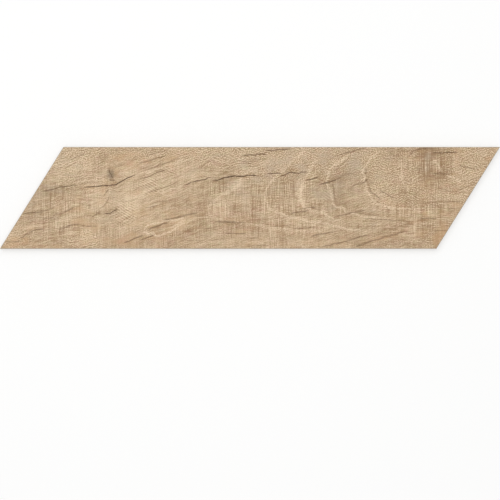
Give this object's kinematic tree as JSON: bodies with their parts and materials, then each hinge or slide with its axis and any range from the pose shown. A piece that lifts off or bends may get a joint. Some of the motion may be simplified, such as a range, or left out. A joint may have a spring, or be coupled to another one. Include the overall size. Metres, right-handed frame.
{
  "type": "chevron wall tile",
  "caption": "Leaning parallelogram tile of wood-effect porcelain with mitred ends and a keyed back, laid point to point in chevron rows.",
  "frame": {"origin": "centre of the back, in the plane of its ribs and land", "axes": "+X along the two long edges, +Y square across them, +Z out of the printed face"},
  "size_m": [0.54, 0.11, 0.01],
  "materials": {
    "tile": "matt oak-effect print with light relief on the face; plain fired body on the ground edges and the keyed back"
  },
  "bodies": {
    "root": {"chevron_tile": "tile"}
  },
  "joints": []
}
